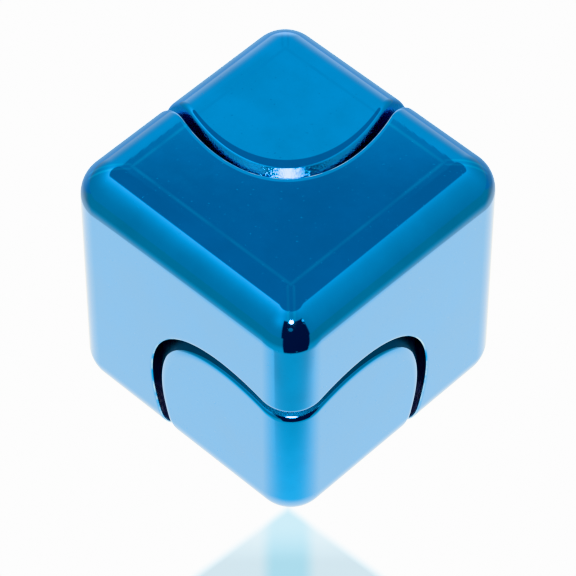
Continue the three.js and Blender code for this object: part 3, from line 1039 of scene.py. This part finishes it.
def add_floor():
    """A pale, evenly lit floor, with a painted reflection of the cube's front corner where the camera
    sees it. The cube mirrors the floor as brightest close by.
    """
    data = bpy.data.meshes.new("floor")
    size = FLOOR_HALF_SIZE
    low = cad_box[0][2] - FLOOR_DROP
    corners = [(-size, -size, low), (size, -size, low), (size, size, low), (-size, size, low)]
    data.from_pydata(corners, [], [(0, 1, 2, 3)])
    floor = linked(data)

    made, graph = empty_material("floor")
    spot = graph.add("ShaderNodeTexCoord").outputs["Object"]
    mirrored = graph.add("ShaderNodeEmission")
    light = floor_light(graph, spot)
    behind = graph.mapped(graph.dot(spot, direction(180, 0)), HALF, POOL_RADIUS)
    tint = graph.blend(behind, FLOOR_TINT, BACK_TINT)
    tint = graph.blend(graph.mapped(light, *TINT_LEVELS), DARK_TINT, tint)
    graph.feed(mirrored.inputs["Color"], tint)
    graph.feed(mirrored.inputs["Strength"], light)

    # The camera sees the painted reflection of the cube on the floor
    image, colour = painted_floor_reflection(graph, spot)
    seen = graph.add("ShaderNodeEmission")
    glow = graph.mapped(image, 0, 1, FLOOR_GLOW, 1.0, smooth=False)
    graph.feed(seen.inputs["Color"], colour)
    graph.feed(seen.inputs["Strength"], glow)
    finish_with(graph, mirrored, seen, "ShaderNodeOutputMaterial")
    data.materials.append(made)


# ---------------------------------------------------------------- assembly


def fit(piece, body_name, materials, node=None):
    """Puts a piece on its body, in the place of its CAD node if it has one."""
    if node is not None:
        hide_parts(node)
    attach(piece, body_name)
    for material in materials:
        piece.data.materials.append(material)


def metal_slot(node_name):
    """The metal's slot of a CAD node that is kept as it is."""
    if node_name.endswith("cap_hub"):
        return "hub_casting"
    if node_name == "bearing_cage":
        return "pressed_steel"
    if "screw" in node_name or node_name == "bearing_retaining_ring":
        return "dark_steel"
    return "bearing_steel"


add_camera()
add_world()
add_floor()

# The body's painted reflection lines are lighter than its plating, and the cap's are darker
body_blue = plated_blue("body_plating", BODY_REFLECTION_LINE)
cap_blue = plated_blue("cap_plating", CAP_REFLECTION_LINE)
# The lower cap's wall is darkened as painted shade
cap_walls = {side: cap_wall_plating(side) for side in SIDES}
# Painted shade: the recesses, the caps' hollows and the screw posts are near-black navy
recess = grainy_metal("recess_painted_shade", DARKER_RECESS_SHADE_COLOUR, RECESS_SHADE_COLOUR, RECESS_FINISH)
# Painted highlight for the edge of the body's lip
painted_lip_highlight = grainy_metal("painted_lip_highlight", PLATING, PAINTED_LIP_HIGHLIGHT_COLOUR, LIP_HIGHLIGHT_FINISH)
metals = {slot: bare_metal(slot) for slot in METALS}
steel, ball_steel, pressed = metals["bearing_steel"], metals["ball_steel"], metals["pressed_steel"]

fit(body_object(), "spinner", [body_blue, recess, painted_lip_highlight], "cube_body")
for side in SIDES:
    cap_materials = [cap_blue, cap_walls[side], recess]
    fit(cap_object(side), "holder", cap_materials, f"{side}_cap_shell")
fit(outer_ring(), "spinner", [steel], "bearing_outer_ring")
fit(inner_ring(), "holder", [steel], "bearing_inner_ring")
for index in range(BALL_COUNT):
    fit(ball(index), "ball_cage", [ball_steel], f"bearing_ball_{index + 1}")
for side in SIDES:
    fit(shield(side), "spinner", [pressed], f"{side}_bearing_shield")
    fit(spacer(side), "holder", [steel], f"{side}_spacer")
    for number, angle in enumerate(POST_ANGLES, start=1):
        fit(screw_post(side, number, angle), "holder", [recess])

for name, node in frame["nodes"].items():
    if not node.hide_render:
        node.material_slots[0].material = metals[metal_slot(name)]

bpy.context.scene.view_settings.view_transform = "Khronos PBR Neutral"
